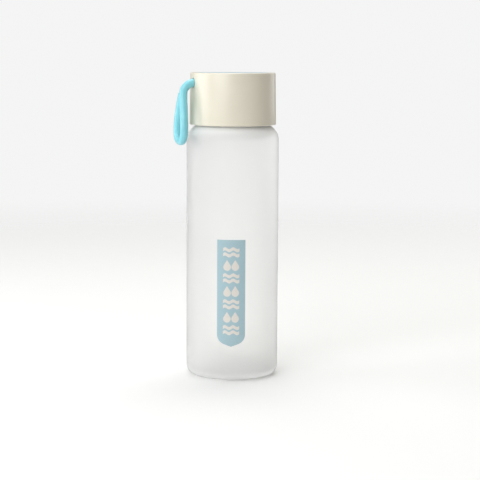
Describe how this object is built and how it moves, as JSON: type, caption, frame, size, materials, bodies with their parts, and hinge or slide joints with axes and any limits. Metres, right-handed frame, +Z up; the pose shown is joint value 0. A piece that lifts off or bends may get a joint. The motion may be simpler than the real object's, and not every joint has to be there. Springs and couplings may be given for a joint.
{
  "type": "glass water bottle",
  "caption": "Straight frosted-glass water bottle with a tall cream screw cap, a light-blue top inlay, a printed side panel and a light-blue silicone carry loop.",
  "frame": {"origin": "centre of the foot, on the plane the bottle stands on", "axes": "+Z up along the bottle's axis, -Y out of the printed side, and the carry strap leaves the cap towards -X and a little towards -Y"},
  "size_m": [0.0739, 0.065, 0.214],
  "materials": {
    "frosted_glass": "acid-etched frosted glass, milky and satin outside, gloss inside",
    "cap_cream": "satin-gloss moulded plastic, warm cream",
    "cap_blue": "satin moulded plastic, light blue",
    "liner_white": "natural white moulded plastic",
    "seal_silicone": "translucent white silicone",
    "strap_silicone": "satin silicone, light cyan blue",
    "label_ink": "flat screen-printed ink, dusty light blue",
    "label_marks": "flat screen-printed ink, warm off-white"
  },
  "bodies": {
    "bottle": {"glass_body": "frosted_glass"},
    "seal": {"seal_gasket": "seal_silicone"},
    "cap": {"cap_shell": "cap_cream", "cap_liner": "liner_white", "cap_top_disc": "cap_blue"},
    "strap_stem": {"strap_anchor": "strap_silicone"},
    "strap_loop": {"carry_loop": "strap_silicone"}
  },
  "joints": [
    {"name": "cap_lift", "type": "slide", "parent": "bottle", "child": "seal", "axis": [0, 0, 1], "range_m": [0, 0.0075]},
    {"name": "cap_turn", "type": "hinge", "parent": "seal", "child": "cap", "pos_m": [0, 0, 0.2], "axis": [0, 0, 1], "range_deg": [0, 540]},
    {"name": "strap_swivel", "type": "hinge", "parent": "cap", "child": "strap_stem", "pos_m": [-0.02771, -0.01148, 0.207], "axis": [-0.9239, -0.3827, 0], "continuous": true},
    {"name": "strap_swing", "type": "hinge", "parent": "strap_stem", "child": "strap_loop", "pos_m": [-0.03252, -0.01347, 0.2042], "axis": [-0.3827, 0.9239, 0], "range_deg": [0, 90]}
  ],
  "couplings": [
    {"joint": "cap_lift", "follows": "cap_turn", "m_per_rad": 0.00079577}
  ]
}
